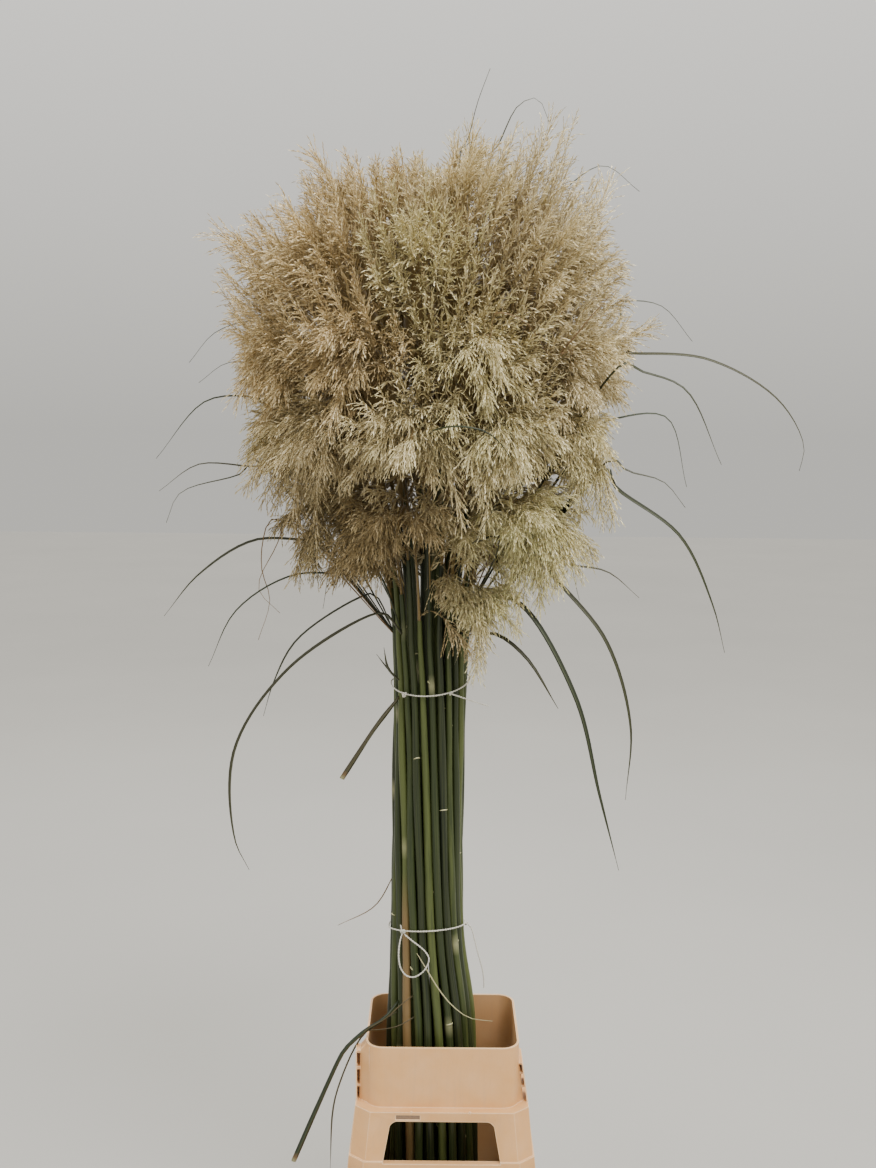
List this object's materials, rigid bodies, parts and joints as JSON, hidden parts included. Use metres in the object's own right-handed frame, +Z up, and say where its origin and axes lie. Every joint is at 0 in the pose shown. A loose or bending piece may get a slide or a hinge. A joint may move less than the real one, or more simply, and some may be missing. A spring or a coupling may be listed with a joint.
{
  "type": "pampas grass bunch in a bucket",
  "caption": "tall tied bunch of cut pampas grass with a round head of fluffy beige plumes, standing in a peach plastic flower bucket with a windowed stacking collar",
  "frame": {"origin": "centre of the bucket's flat bottom, where it rests", "axes": "+Z up; the front, with the plain label recess, faces -Y; +X is to the right of the front"},
  "size_m": [0.9209, 0.7723, 1.8321],
  "materials": {
    "bucket_plastic": "satin",
    "collar_plastic": "satin",
    "water": "polished",
    "stems": "satin",
    "plumes": "matte",
    "twine": "matte"
  },
  "bodies": {
    "root": {"bucket": "bucket_plastic", "collar": "collar_plastic", "water": "water", "stems_01": "stems", "stems_02": "stems", "stems_03": "stems", "stems_04": "stems", "stems_05": "stems", "stems_06": "stems", "stems_07": "stems", "stems_08": "stems", "stems_09": "stems", "stems_10": "stems", "plume_01": "plumes", "plume_02": "plumes", "plume_03": "plumes", "plume_04": "plumes", "plume_05": "plumes", "plume_06": "plumes", "plume_07": "plumes", "plume_08": "plumes", "plume_09": "plumes", "plume_10": "plumes", "plume_11": "plumes", "plume_12": "plumes", "plume_13": "plumes", "plume_14": "plumes", "plume_15": "plumes", "plume_16": "plumes", "plume_17": "plumes", "plume_18": "plumes", "plume_19": "plumes", "plume_20": "plumes", "plume_21": "plumes", "plume_22": "plumes", "plume_23": "plumes", "plume_24": "plumes", "plume_25": "plumes", "plume_26": "plumes", "plume_27": "plumes", "plume_28": "plumes", "plume_29": "plumes", "plume_30": "plumes", "plume_31": "plumes", "plume_32": "plumes", "plume_33": "plumes", "plume_34": "plumes", "plume_35": "plumes", "plume_36": "plumes", "plume_37": "plumes", "plume_38": "plumes", "plume_39": "plumes", "plume_40": "plumes", "tie_lower": "twine", "tie_upper": "twine", "upper_tail": "twine", "lower_tail": "twine", "lower_loop": "twine"}
  },
  "joints": []
}
